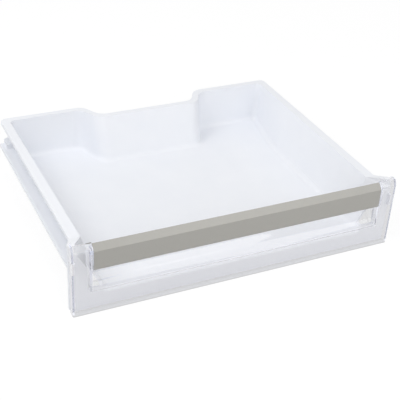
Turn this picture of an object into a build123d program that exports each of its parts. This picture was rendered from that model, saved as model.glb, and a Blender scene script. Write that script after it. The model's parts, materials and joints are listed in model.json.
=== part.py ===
from build123d import *
from math import sqrt
import os

# Freezer drawer: a white moulded tub on side rails, a clear front with a finger scoop,
# and a grey trim clipped over the scoop's nose. Millimetres, +Z up, +Y towards the freezer's back.
# Depths are measured behind the clear front's face, heights from its bottom edge.

# Clear front
panel_width = 460.0
panel_height = 102.0
panel_wall = 2.5
bevel_height = 9.0
bevel_depth = 4.5
side_return = 13.0
bottom_return = 9.2
panel_corner = 2.0
fit = 0.3

# Finger scoop in the clear front, and the web that joins it to the nose
scoop_cheek = 25.5
scoop_lip = 34.0
scoop_lip_round = 2.0
scoop_depth = 15.7
scoop_radius = 27.0
scoop_back_top = 84.0
web_height = 91.0

# Handle trim and the nose bar inside it
trim_wall = 1.8
trim_proud = 3.0
trim_crease = 94.3
trim_bottom = 65.2
trim_roll = 5.0
trim_crease_round = 0.8
trim_lip = 3.5
trim_end_gap = 1.0
nose_end = 4.0
nose_end_round = 1.8
clip_fit = 0.2

# Tub walls, floor and rim
tub_wall = 2.5
floor_height = 25.3
rim_height = 90.6
rim_band = 12.0
rear_band = 10.0
rim_lip_height = 6.0
rim_lip_wall = 2.0
rim_chamfer = 0.8
rim_corner = 8.0
tub_depth = 368.0
wall_front_inset = 23.5
wall_middle_inset = 22.0
wall_back_inset = 21.2
floor_front_inset = 46.5
floor_middle_inset = 43.0
floor_back_inset = 23.0
floor_middle_depth = 250.0
back_draft = 1.0
corner_radius = 9.0
floor_radius = 8.0
underside_chamfer = 5.0

# Bay set forward in the middle of the rear wall
bay_half_width = 76.0
bay_mouth_half_width = 93.0
bay_set_forward = 32.0
bay_draft = 23.0
bay_radius = 20.0

# Front frame and the flared wings that carry the clear front
frame_bottom = 2.0
flare_depth = 38.0
wing_height = 98.0
wing_depth = 18.0
ramp_start = 16.0
ramp_end = 38.5
front_lip_radius = 5.0
front_lip_depth = 10.0
scoop_clearance = 1.0

# Snap catches on the wings, in pockets inside the clear front's side returns
catch_height = 70.0
catch_length = 16.0
catch_depth = 4.0
catch_stand = 1.2
catch_front = 5.2
tab_lead = 1.5

# Side rails: a ledge with a beaded edge, a raised stop at the back and an end that slants back to the wall
rail_height = 65.5
rail_wall = 2.5
rail_edge = 3.0
rail_bead = 1.5
rail_skirt = 3.0
rail_end = 337.0
rail_end_slant = 0.5
rail_step_depth = 52.0
stop_depth = 321.0
stop_inset = 7.0
stop_height = 6.5

# Places that follow from the sizes above
front_y = (trim_proud - tub_depth) / 2
half_width = panel_width / 2
scoop_half_width = half_width - scoop_cheek
wall_front = half_width - wall_front_inset
wall_middle = half_width - wall_middle_inset
wall_back = half_width - wall_back_inset
floor_front = half_width - floor_front_inset
floor_middle = half_width - floor_middle_inset
floor_back = half_width - floor_back_inset
tub_front = bottom_return + fit
tongue = half_width - panel_wall - fit
band_front = side_return + fit
rim_half_width = wall_back + rim_band
rim_front = flare_depth - rim_band
nose_back = bevel_depth - trim_wall - clip_fit
nose_bottom = trim_bottom + trim_wall + clip_fit
scoop_arc_height = scoop_lip + sqrt(scoop_radius**2 - (scoop_radius - scoop_depth) ** 2)
scoop_outer_radius = scoop_radius + panel_wall
scoop_outer_lip = scoop_arc_height - sqrt(
    scoop_outer_radius**2 - (scoop_radius - scoop_depth + panel_wall) ** 2
)
nose_half_width = scoop_half_width - trim_end_gap
trim_half_width = nose_half_width - fit
tab_bottom = catch_height - catch_length / 2
tab_front = catch_front - tab_lead
catch_back = catch_front + catch_depth
catch_reach = tongue + catch_stand + fit
past = 20.0

side_plane = Plane(origin=(0, front_y, 0), x_dir=(0, 1, 0), z_dir=(1, 0, 0))


def level(height):
    """Plan plane at a height, with its origin under the clear front's face."""
    return Plane(origin=(0, front_y, height))


def both_sides(points):
    """Closed plan outline from the points of its right half, front to back."""
    return points + [(-x, y) for x, y in reversed(points)]


def plan_radii(radii):
    """Corner radii for both halves of a plan outline."""
    return radii + list(reversed(radii))


# Plan outlines of the tub's inside: right half, from the open front to the bay
cut_front = tub_front - fit
back_inner = tub_depth - rear_band
diagonal = sqrt((bay_mouth_half_width - bay_half_width) ** 2 + bay_set_forward**2)
bay_shift = rear_band * (diagonal - (bay_mouth_half_width - bay_half_width)) / bay_set_forward
rim_points = [
    (tongue - tub_wall, cut_front),
    (wall_front, flare_depth),
    (wall_middle, floor_middle_depth),
    (wall_back, back_inner),
    (bay_mouth_half_width + bay_shift, back_inner),
    (bay_half_width + bay_shift, back_inner - bay_set_forward),
]
floor_points = [
    (floor_front, cut_front),
    (floor_front, flare_depth),
    (floor_middle, floor_middle_depth),
    (floor_back, back_inner - back_draft),
    (bay_mouth_half_width + bay_shift, back_inner - back_draft),
    (bay_half_width + bay_shift, back_inner - bay_set_forward - bay_draft),
]
inner_radii = plan_radii([0, 0, 0, corner_radius, bay_radius, bay_radius])

with BuildPart() as cavity:
    with BuildSketch(level(floor_height)):
        with BuildLine():
            FilletPolyline(*both_sides(floor_points), radius=inner_radii, close=True)
        make_face()
    with BuildSketch(level(rim_height)) as rim_inside:
        with BuildLine():
            FilletPolyline(*both_sides(rim_points), radius=inner_radii, close=True)
        make_face()
    loft(ruled=True)
    floor_edges = cavity.faces().sort_by(Axis.Z)[0].edges()
    fillet(floor_edges.sort_by(Axis.Y)[1:], floor_radius)
    with BuildSketch(level(rim_height)):
        add(rim_inside.sketch_local)
    extrude(amount=panel_height - rim_height)

# Outside of the walls, with a chamfer round the underside
chamfer_share = underside_chamfer / (rim_height - floor_height + tub_wall)
chamfer_points = [
    (floor_x + (rim_x - floor_x) * chamfer_share, floor_y + (rim_y - floor_y) * chamfer_share)
    for (floor_x, floor_y), (rim_x, rim_y) in zip(floor_points, rim_points)
]
with BuildPart() as walls:
    with BuildSketch(level(floor_height - tub_wall)):
        with BuildLine():
            FilletPolyline(*both_sides(floor_points), radius=inner_radii, close=True)
        make_face()
        offset(amount=tub_wall - underside_chamfer, kind=Kind.INTERSECTION)
    with BuildSketch(level(floor_height - tub_wall + underside_chamfer)):
        with BuildLine():
            FilletPolyline(*both_sides(chamfer_points), radius=inner_radii, close=True)
        make_face()
        offset(amount=tub_wall, kind=Kind.INTERSECTION)
    with BuildSketch(level(rim_height)):
        with BuildLine():
            FilletPolyline(*both_sides(rim_points), radius=inner_radii, close=True)
        make_face()
        offset(amount=tub_wall, kind=Kind.INTERSECTION)
    loft(ruled=True)
    with BuildSketch(level(0)):
        with Locations((0, tub_front)):
            Rectangle(2 * tongue, tub_depth, align=(Align.CENTER, Align.MIN))
    extrude(amount=rim_height, mode=Mode.INTERSECT)

# Outer form of the walls carried on above the rim, which bounds the hollow of the wings
with BuildPart() as outer_form:
    add(walls.part)
    with BuildSketch(level(rim_height)):
        with BuildLine():
            FilletPolyline(*both_sides(rim_points), radius=inner_radii, close=True)
        make_face()
        offset(amount=tub_wall, kind=Kind.INTERSECTION)
    extrude(amount=wing_height - rim_height)

# Hollow of the right wing, open behind and below
with BuildPart() as wing_hollow:
    for start, reach in ((tub_front, tongue), (band_front, half_width)):
        with BuildSketch(side_plane.offset(floor_front)):
            with BuildLine():
                Polyline(
                    (start + tub_wall, frame_bottom - past),
                    (start + tub_wall, wing_height - tub_wall),
                    (ramp_start, wing_height - tub_wall),
                    (ramp_end, rim_height - tub_wall),
                    (ramp_end, frame_bottom - past),
                    close=True,
                )
            make_face()
        extrude(amount=reach - tub_wall - floor_front)
    add(outer_form.part, mode=Mode.SUBTRACT)

# Flared wing on the right: hollow from behind, its top ramping from the rim up to the clear front
with BuildPart() as wing:
    with BuildSketch(level(frame_bottom)):
        with BuildLine():
            Polyline(
                (floor_front, tub_front),
                (tongue, tub_front),
                (tongue, band_front),
                (half_width, band_front),
                (half_width, wing_depth),
                (rim_half_width, ramp_end),
                (floor_front, ramp_end),
                close=True,
            )
        make_face()
    extrude(amount=wing_height - frame_bottom)
    with BuildSketch(side_plane.offset(floor_front)):
        with BuildLine():
            Polyline(
                (tub_front, frame_bottom),
                (tub_front, wing_height),
                (ramp_start, wing_height),
                (ramp_end, rim_height),
                (ramp_end, rim_height - tub_wall),
                (wing_depth, rim_height - tub_wall),
                (wing_depth, frame_bottom),
                close=True,
            )
        make_face()
    extrude(amount=half_width, mode=Mode.INTERSECT)
    add(wing_hollow.part, mode=Mode.SUBTRACT)

# Snap tab that reaches forward from the wing into the clear front's side return
with BuildPart() as snap_tab:
    with BuildSketch(level(tab_bottom)):
        with BuildLine():
            Polyline(
                (tongue - tub_wall, tab_front),
                (tongue, tab_front),
                (tongue, catch_front),
                (tongue + catch_stand, catch_back),
                (tongue, catch_back),
                (tongue, tub_front + tub_wall),
                (tongue - tub_wall, tub_front + tub_wall),
                close=True,
            )
        make_face()
    extrude(amount=catch_length)

# Right-hand rail, set against the tub's wall
rail_front = wing_depth - tub_wall


def rail_back(x):
    """Depth of the rail's slanting end at a distance from the drawer's middle."""
    return rail_end + (half_width - x) * rail_end_slant


def rail_strip(inner, outer, front):
    """Plan of a strip of the rail between two distances from the middle, from a depth to its end."""
    Polyline((inner, front), (outer, front), (outer, rail_back(outer)), (inner, rail_back(inner)), close=True)


with BuildPart() as rail:
    with BuildSketch(level(rail_height - rail_wall)):
        with BuildLine():
            rail_strip(floor_front, half_width, rail_front)
        make_face()
    extrude(amount=rail_wall)
    with BuildSketch(level(rail_height - rail_skirt)):
        with BuildLine():
            rail_strip(half_width - rail_edge, half_width, rail_front)
        make_face()
    extrude(amount=rail_skirt + rail_bead)
    with BuildSketch(level(rail_height)):
        with Locations((floor_front, rail_front)):
            Rectangle(half_width - floor_front, rail_step_depth - rail_front, align=(Align.MIN, Align.MIN))
    extrude(amount=rail_bead)
    with BuildSketch(level(rail_height - rail_wall)) as stop_plan:
        with BuildLine():
            rail_strip(floor_front, half_width - stop_inset, stop_depth)
        make_face()
    extrude(amount=rail_wall + stop_height)
    with BuildSketch(level(rail_height - rail_wall)):
        offset(stop_plan.sketch_local, amount=-rail_wall)
    extrude(amount=stop_height, mode=Mode.SUBTRACT)

# Tub: walls and floor, rolled rim, front frame, wings and rails, with the inside taken out
with BuildPart() as tub:
    add(walls.part)
    with BuildSketch(level(rim_height - tub_wall)) as rim_outline:
        with BuildLine():
            FilletPolyline(
                *both_sides(
                    [
                        (rim_half_width, rim_front),
                        (rim_half_width, tub_depth),
                        (bay_mouth_half_width, tub_depth),
                        (bay_half_width, tub_depth - bay_set_forward),
                    ]
                ),
                radius=plan_radii([0, rim_corner, bay_radius, bay_radius]),
                close=True,
            )
        make_face()
    extrude(amount=tub_wall)
    with BuildSketch(level(rim_height - rim_lip_height)):
        add(rim_outline.sketch_local)
        offset(rim_outline.sketch_local, amount=-rim_lip_wall, mode=Mode.SUBTRACT)
    extrude(amount=rim_lip_height)
    rim_edges = tub.faces().filter_by(Axis.Z).sort_by(Axis.Z)[-1].edges()
    chamfer(rim_edges.filter_by_position(Axis.Y, front_y + ramp_end, front_y + tub_depth), rim_chamfer)
    with BuildSketch(side_plane):
        with BuildLine():
            Polyline(
                (tub_front, frame_bottom),
                (tub_front, floor_height),
                (tub_front + front_lip_depth, floor_height),
                (tub_front + front_lip_depth, floor_height - tub_wall),
                (tub_front + tub_wall, floor_height - tub_wall),
                (tub_front + tub_wall, frame_bottom),
                close=True,
            )
        make_face()
    extrude(amount=tongue, both=True)
    add(wing.part)
    add(mirror(wing.part, about=Plane.YZ, mode=Mode.PRIVATE))
    add(rail.part)
    add(mirror(rail.part, about=Plane.YZ, mode=Mode.PRIVATE))
    add(snap_tab.part)
    add(mirror(snap_tab.part, about=Plane.YZ, mode=Mode.PRIVATE))
    add(cavity.part, mode=Mode.SUBTRACT)
    with BuildSketch(side_plane):
        with Locations((tub_front - past, scoop_outer_lip - scoop_clearance)):
            Rectangle(
                scoop_depth + panel_wall + scoop_clearance - tub_front + past,
                wing_height,
                align=(Align.MIN, Align.MIN),
            )
    extrude(amount=scoop_half_width + panel_wall + scoop_clearance, both=True, mode=Mode.SUBTRACT)
    lip_edges = tub.edges().filter_by(Axis.X).filter_by_position(Axis.Z, floor_height, floor_height)
    fillet(lip_edges.sort_by(Axis.Y)[0], front_lip_radius)

tub.part.label = "tub"


def trim_outline():
    """Section of the handle trim's outside: sloped top, flat face, rolled bottom edge."""
    FilletPolyline(
        (bevel_depth, panel_height),
        (-trim_proud, trim_crease),
        (-trim_proud, trim_bottom),
        (bevel_depth, trim_bottom),
        radius=[0, trim_crease_round, trim_roll, 0],
        close=True,
    )


# Raised clear end that frames the trim on the right
with BuildPart() as nose_end_block:
    with BuildSketch(side_plane.offset(nose_half_width)):
        with BuildLine():
            trim_outline()
        make_face()
    extrude(amount=nose_end)
    end_face = nose_end_block.faces().sort_by(Axis.X)[-1]
    fillet(end_face.edges().sort_by(Axis.Y)[:-1], nose_end_round)

# Clear front: tray with returns, finger scoop, web and nose bar
with BuildPart() as front_panel:
    with BuildSketch(side_plane):
        with BuildLine():
            Polyline(
                (0, 0),
                (side_return, 0),
                (side_return, panel_height),
                (bevel_depth, panel_height),
                (0, panel_height - bevel_height),
                close=True,
            )
        make_face()
    extrude(amount=half_width, both=True)
    fillet(front_panel.edges().filter_by(Axis.Z), panel_corner)
    with BuildSketch(side_plane):
        with BuildLine():
            Polyline(
                (panel_wall, panel_wall),
                (side_return + past, panel_wall),
                (side_return + past, panel_height + past),
                (bevel_depth + panel_wall, panel_height + past),
                (bevel_depth + panel_wall, panel_height),
                (panel_wall, panel_height - bevel_height),
                close=True,
            )
        make_face()
        with Locations((bottom_return, 0)):
            Rectangle(past, panel_wall, align=(Align.MIN, Align.MIN))
    extrude(amount=half_width - panel_wall, both=True, mode=Mode.SUBTRACT)
    with BuildSketch(side_plane):
        with BuildLine():
            Line((0, scoop_lip), (panel_wall, scoop_outer_lip))
            RadiusArc(
                (panel_wall, scoop_outer_lip),
                (scoop_depth + panel_wall, scoop_arc_height),
                -scoop_outer_radius,
            )
            Polyline(
                (scoop_depth + panel_wall, scoop_arc_height),
                (scoop_depth + panel_wall, scoop_back_top),
                (nose_back, web_height),
                (0, web_height),
                (0, scoop_lip),
            )
        make_face()
    extrude(amount=scoop_half_width + panel_wall, both=True)
    with BuildSketch(side_plane):
        with BuildLine():
            Line((-past, scoop_lip), (0, scoop_lip))
            RadiusArc((0, scoop_lip), (scoop_depth, scoop_arc_height), -scoop_radius)
            Polyline(
                (scoop_depth, scoop_arc_height),
                (scoop_depth, scoop_back_top - panel_wall),
                (nose_back, web_height - panel_wall),
                (nose_back, nose_bottom),
                (-past, nose_bottom),
                (-past, scoop_lip),
            )
        make_face()
    extrude(amount=scoop_half_width, both=True, mode=Mode.SUBTRACT)
    lip = front_panel.edges().filter_by(Axis.X).filter_by_position(Axis.Z, scoop_lip, scoop_lip)
    fillet(lip.sort_by(Axis.Y)[0], scoop_lip_round)
    with BuildSketch(side_plane):
        with BuildLine():
            Polyline(
                (-past, nose_bottom),
                (nose_back, nose_bottom),
                (nose_back, web_height),
                (side_return, web_height),
                (side_return, panel_height + past),
                (-past, panel_height + past),
                close=True,
            )
        make_face()
    extrude(amount=nose_half_width, both=True, mode=Mode.SUBTRACT)
    with BuildSketch(side_plane):
        with BuildLine():
            trim_outline()
        make_face()
        offset(amount=-trim_wall - clip_fit)
    extrude(amount=nose_half_width, both=True)
    add(nose_end_block.part)
    add(mirror(nose_end_block.part, about=Plane.YZ, mode=Mode.PRIVATE))
    with BuildSketch(level(tab_bottom - fit)):
        with Locations((0, catch_front - fit)):
            Rectangle(2 * catch_reach, catch_depth + 2 * fit, align=(Align.CENTER, Align.MIN))
        Rectangle(panel_width - 2 * panel_wall, panel_width, mode=Mode.SUBTRACT)
    extrude(amount=catch_length + 2 * fit, mode=Mode.SUBTRACT)

front_panel.part.label = "front_panel"

# Handle trim: a thin channel whose back lips hold the nose bar
with BuildPart() as handle_trim:
    with BuildSketch(side_plane):
        with BuildLine():
            trim_outline()
        make_face()
        offset(amount=-trim_wall, mode=Mode.SUBTRACT)
        with Locations((bevel_depth - trim_wall - fit, trim_bottom + trim_wall + trim_lip)):
            Rectangle(
                trim_wall + 2 * fit,
                trim_crease - trim_bottom - trim_wall - trim_lip,
                align=(Align.MIN, Align.MIN),
                mode=Mode.SUBTRACT,
            )
    extrude(amount=trim_half_width, both=True)

handle_trim.part.label = "handle_trim"

os.makedirs("parts", exist_ok=True)
export_step(tub.part, "parts/tub.step")
export_step(front_panel.part, "parts/front_panel.step")
export_step(handle_trim.part, "parts/handle_trim.step")
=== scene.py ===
import json
import math

import bpy
from mathutils import Matrix, Vector


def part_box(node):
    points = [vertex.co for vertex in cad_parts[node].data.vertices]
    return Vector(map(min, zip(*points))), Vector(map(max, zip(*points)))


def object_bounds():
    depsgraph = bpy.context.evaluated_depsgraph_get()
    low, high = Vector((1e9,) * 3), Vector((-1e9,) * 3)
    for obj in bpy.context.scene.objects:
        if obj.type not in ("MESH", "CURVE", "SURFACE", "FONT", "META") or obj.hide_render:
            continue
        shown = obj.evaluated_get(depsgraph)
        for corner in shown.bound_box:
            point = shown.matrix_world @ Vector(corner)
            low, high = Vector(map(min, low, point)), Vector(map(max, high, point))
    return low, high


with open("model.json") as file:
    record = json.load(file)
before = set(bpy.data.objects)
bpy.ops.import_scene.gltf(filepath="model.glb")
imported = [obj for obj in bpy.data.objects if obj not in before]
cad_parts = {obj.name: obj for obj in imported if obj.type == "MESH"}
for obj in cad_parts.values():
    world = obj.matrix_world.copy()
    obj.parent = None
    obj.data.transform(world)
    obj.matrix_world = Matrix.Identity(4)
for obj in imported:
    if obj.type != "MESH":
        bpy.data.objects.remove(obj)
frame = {"nodes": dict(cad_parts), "record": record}
cad_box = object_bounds()

# Camera: place in metres, turns in degrees with the tilt taken from straight down, lens and sensor in mm
camera_place = (-0.4850, -1.0126, 0.7215)
camera_azimuth = -26.73
camera_elevation = 32.24
camera_tilt = 90 - camera_elevation
camera_roll = 3.6
camera_lens = 81.76
sensor_width = 36.0

# Colour of the sky and of the floor in plain view
white = (1.0, 1.0, 1.0)

# Sky: its level to the front and back, what it gains towards +X, +Y and +Z, and the level that it shows
sky_level = 0.47
sky_rise = (-0.30, 0.0, 0.36)
sky_shown = 1.0

# Clear plastic: the share of light that one face lets through to what lies behind it,
# and the number of bounces after which light that is caught in it goes straight out
clear_passes = (0.970, 0.962, 0.952)
clear_bounces = 2

# Painted shade lines along the clear front's bottom edge: their top in metres, and a shade at each share
# of that height
painted_shade_top = 0.012
painted_shade_levels = ((0.0, 0.66), (0.12, 0.72), (0.30, 1.0), (0.42, 1.0), (0.55, 0.92), (0.70, 1.0))

# Floor: its side and the height of the tub's underside in metres, and its colour where it gives light back
floor_size = 30.0
mount_places = {mount["name"]: mount["pos_m"] for mount in frame["record"]["mounts"]}
_, _, tub_underside = mount_places["underside"]
floor_colour = (0.6, 0.6, 0.6)

# How the floor shows, in plain view and through clear plastic: its glow, and the share that takes shadows
floor_glow = 1.04
floor_shadow = 0.20
# Painted shade: seen through clear plastic the floor glows dimmer, standing for the drawer's shadow on it
floor_painted_shade_glow = 0.80
floor_shadow_through_clear = 0.20

# Most values of a noise lie between these two
noise_low = 0.3
noise_high = 0.7


def empty_tree(owner):
    """The node tree of a material or a world, with no nodes in it."""
    owner.use_nodes = True
    owner.node_tree.nodes.clear()
    return owner.node_tree


def new_material(name):
    """A material and its empty node tree."""
    material = bpy.data.materials.new(name)
    return material, empty_tree(material)


def add(tree, kind, inputs, operation=None):
    """A node of this kind, whose inputs are numbers, colours or the outputs of other nodes."""
    node = tree.nodes.new(kind)
    if operation:
        node.operation = operation
    for key, value in inputs.items():
        if isinstance(value, bpy.types.NodeSocket):
            tree.links.new(value, node.inputs[key])
        else:
            node.inputs[key].default_value = value
    return node


def place(tree):
    """Coordinates in metres, fixed to the part."""
    return add(tree, "ShaderNodeTexCoord", {}).outputs["Object"]


def noise(tree, grains, detail=2.0, roughness=0.5):
    """Noise from 0 to 1 with about this many grains to the metre."""
    inputs = {"Vector": place(tree), "Scale": grains, "Detail": detail, "Roughness": roughness}
    return add(tree, "ShaderNodeTexNoise", inputs).outputs["Fac"]


def spread(tree, value, low, high, start=noise_low, end=noise_high):
    """A value between start and end taken to the range from low to high."""
    inputs = {"Value": value, "From Min": start, "From Max": end, "To Min": low, "To Max": high}
    return add(tree, "ShaderNodeMapRange", inputs).outputs["Result"]


def ramp(tree, value, stops, interpolation="LINEAR"):
    """A colour for the value, from stops that each have a position and a colour."""
    node = add(tree, "ShaderNodeValToRGB", {"Fac": value})
    node.color_ramp.interpolation = interpolation
    while len(node.color_ramp.elements) < len(stops):
        node.color_ramp.elements.new(1.0)
    for element, (position, colour) in zip(node.color_ramp.elements, stops):
        element.position = position
        element.color = (*colour, 1)
    return node.outputs["Color"]


def shades(tree, value, dark, light):
    """A colour that goes from dark to light over the usual range of a noise."""
    return ramp(tree, value, ((noise_low, dark), (noise_high, light)))


def bump(tree, height, depth, strength):
    """A normal for a surface raised by the height, which stands for up to the depth in metres."""
    inputs = {"Height": height, "Distance": depth, "Strength": strength}
    return add(tree, "ShaderNodeBump", inputs).outputs["Normal"]


def largest(tree, first, *others):
    """The largest of some values."""
    for other in others:
        first = add(tree, "ShaderNodeMath", {0: first, 1: other}, "MAXIMUM").outputs["Value"]
    return first


def plain(tree, kind, colour, **more):
    """The output of a shader of this kind in one colour, with more inputs by name."""
    return add(tree, kind, {"Color": (*colour, 1), **more}).outputs[0]


def mix(tree, share, first, second):
    """The first shader with this share of the second."""
    return add(tree, "ShaderNodeMixShader", {"Fac": share, 1: first, 2: second}).outputs["Shader"]


def principled(tree, inputs):
    """The output of a Principled shader."""
    return add(tree, "ShaderNodeBsdfPrincipled", inputs).outputs["BSDF"]


def white_plastic():
    """Moulded polystyrene: cool white, satin, with a fine spark-eroded grain."""
    material, tree = new_material("white_plastic")
    clouds = noise(tree, grains=28, detail=3)
    surface = principled(tree, {
        "Base Color": shades(tree, clouds, dark=(0.880, 0.898, 0.940), light=(0.898, 0.914, 0.952)),
        "Roughness": spread(tree, noise(tree, grains=60, detail=3), low=0.34, high=0.44),
        "IOR": 1.5,
        "Normal": bump(tree, noise(tree, grains=2200), depth=0.00002, strength=0.6),
    })
    add(tree, "ShaderNodeOutputMaterial", {"Surface": surface})
    return material


def let_light_through(tree, shader):
    """The shader, but lamps and soft light pass straight through it, and light caught in it gets out."""
    path = add(tree, "ShaderNodeLightPath", {}).outputs
    caught = add(tree, "ShaderNodeMath", {0: path["Ray Depth"], 1: clear_bounces}, "GREATER_THAN")
    goes_on = largest(tree, path["Is Shadow Ray"], path["Is Diffuse Ray"], caught.outputs["Value"])
    return mix(tree, goes_on, shader, plain(tree, "ShaderNodeBsdfTransparent", clear_passes))


def painted_shade_lines(tree):
    """Painted shade: grey lines in the clear front's colour where it steps back at its bottom edge, a dark
    band at the very bottom and a faint line above it.
    """
    height = add(tree, "ShaderNodeSeparateXYZ", {"Vector": place(tree)}).outputs["Z"]
    share = spread(tree, height, low=0.0, high=1.0, start=0.0, end=painted_shade_top)
    stops = [(position, (shade, shade, shade)) for position, shade in painted_shade_levels]
    return ramp(tree, share, stops, "EASE")


def clear_plastic():
    """Clear styrene: polished, faintly wavy, blue where light goes a long way through it, with painted
    shade lines along its bottom edge.
    """
    material, tree = new_material("clear_plastic")
    shader = principled(tree, {
        # Base colour carries painted shade lines along the bottom edge
        "Base Color": painted_shade_lines(tree),
        "Transmission Weight": 1.0,
        "IOR": 1.57,
        "Roughness": spread(tree, noise(tree, grains=35), low=0.015, high=0.05),
        "Normal": bump(tree, noise(tree, grains=45, detail=1), depth=0.0001, strength=0.25),
    })
    surface = let_light_through(tree, shader)
    volume = plain(tree, "ShaderNodeVolumeAbsorption", (0.60, 0.68, 0.95), Density=20.0)
    add(tree, "ShaderNodeOutputMaterial", {"Surface": surface, "Volume": volume})
    return material


def grey_trim():
    """Satin warm-grey lacquer with a fine metallic fleck."""
    material, tree = new_material("grey_trim")
    flecks = noise(tree, grains=3500, roughness=0.7)
    surface = principled(tree, {
        "Base Color": shades(tree, flecks, dark=(0.355, 0.347, 0.322), light=(0.413, 0.405, 0.379)),
        "Roughness": spread(tree, noise(tree, grains=50, detail=3), low=0.33, high=0.41),
        "Metallic": 0.25,
        "Normal": bump(tree, noise(tree, grains=1800), depth=0.000015, strength=0.5),
    })
    add(tree, "ShaderNodeOutputMaterial", {"Surface": surface})
    return material


def shown_directly(tree):
    """1 for rays that come straight from the camera, a mirror or through glass."""
    path = add(tree, "ShaderNodeLightPath", {}).outputs
    return largest(tree, path["Is Camera Ray"], path["Is Glossy Ray"], path["Is Transmission Ray"])


def floor_white():
    """White that glows under a faint shadow and gives soft light back, with painted shade: a dimmer glow
    through clear plastic.
    """
    material, tree = new_material("floor_white")
    diffuse = plain(tree, "ShaderNodeBsdfDiffuse", floor_colour)
    shadowed = plain(tree, "ShaderNodeBsdfDiffuse", white)
    glow = plain(tree, "ShaderNodeEmission", white, Strength=floor_glow)
    # Painted shade: a dimmer glow for the floor seen through clear plastic
    painted_shade_glow = plain(tree, "ShaderNodeEmission", white, Strength=floor_painted_shade_glow)
    in_view = mix(tree, floor_shadow, glow, shadowed)
    through_clear = mix(tree, floor_shadow_through_clear, painted_shade_glow, diffuse)
    path = add(tree, "ShaderNodeLightPath", {}).outputs
    shown = mix(tree, path["Is Transmission Ray"], in_view, through_clear)
    surface = mix(tree, shown_directly(tree), diffuse, shown)
    add(tree, "ShaderNodeOutputMaterial", {"Surface": surface})
    return material


def make_world():
    """A soft sky, brighter above and on the left, that shows as plain white."""
    world = bpy.data.worlds.new("studio")
    bpy.context.scene.world = world
    tree = empty_tree(world)
    direction = add(tree, "ShaderNodeTexCoord", {}).outputs["Generated"]
    rise = add(tree, "ShaderNodeVectorMath", {0: direction, 1: sky_rise}, "DOT_PRODUCT").outputs["Value"]
    level = add(tree, "ShaderNodeMath", {0: rise, 1: sky_level}, "ADD").outputs["Value"]
    light = plain(tree, "ShaderNodeBackground", white, Strength=level)
    seen = plain(tree, "ShaderNodeBackground", white, Strength=sky_shown)
    surface = mix(tree, shown_directly(tree), light, seen)
    add(tree, "ShaderNodeOutputWorld", {"Surface": surface})


def make_floor():
    """Floor that rises from the front's bottom edge to the underside's height at the tub's rear."""
    front = cad_box[0].y
    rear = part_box("tub")[1].y
    bpy.ops.mesh.primitive_plane_add(size=floor_size)
    floor = bpy.context.object
    floor.name = "floor"
    floor.location = (0, front, 0)
    floor.rotation_euler = (math.atan2(tub_underside, rear - front), 0, 0)
    floor.data.materials.append(floor_white())


def make_softbox(name, at, aim, side, watts):
    """A square soft lamp at a place, turned to the point it aims at. The camera doesn't see it."""
    lamp = bpy.data.lights.new(name, "AREA")
    lamp.shape = "SQUARE"
    lamp.size = side
    lamp.energy = watts
    holder = bpy.data.objects.new(name, lamp)
    bpy.context.scene.collection.objects.link(holder)
    holder.location = at
    holder.rotation_euler = (Vector(aim) - Vector(at)).to_track_quat("-Z", "Y").to_euler()
    holder.visible_camera = False


def turn(degrees, axis):
    """A turn about an axis."""
    return Matrix.Rotation(math.radians(degrees), 4, axis)


def make_camera():
    """Camera at the photograph's viewing angle."""
    data = bpy.data.cameras.new("camera")
    data.sensor_width = sensor_width
    data.lens = camera_lens
    camera = bpy.data.objects.new("camera", data)
    bpy.context.scene.collection.objects.link(camera)
    turns = turn(camera_azimuth, "Z") @ turn(camera_tilt, "X") @ turn(camera_roll, "Z")
    camera.matrix_world = Matrix.Translation(camera_place) @ turns
    bpy.context.scene.camera = camera


finishes = {"tub": white_plastic(), "front_panel": clear_plastic(), "handle_trim": grey_trim()}
for node_name, finish in finishes.items():
    for slot in frame["nodes"][node_name].material_slots:
        slot.material = finish

make_world()
make_floor()
make_softbox("top_softbox", at=(0.57, -0.98, 1.13), aim=(0.0, -0.1, 0.05), side=0.9, watts=2.4)
make_softbox("right_softbox", at=(1.0, -0.75, 0.35), aim=(0.2, -0.19, 0.08), side=0.5, watts=0.65)
make_softbox("left_softbox", at=(-0.77, -0.1, 1.01), aim=(-0.22, 0.0, 0.06), side=0.6, watts=2.95)
make_softbox("front_softbox", at=(0.1, -1.3, 0.3), aim=(0.0, -0.18, 0.05), side=1.0, watts=3.4)
make_camera()
bpy.context.scene.view_settings.view_transform = "Standard"
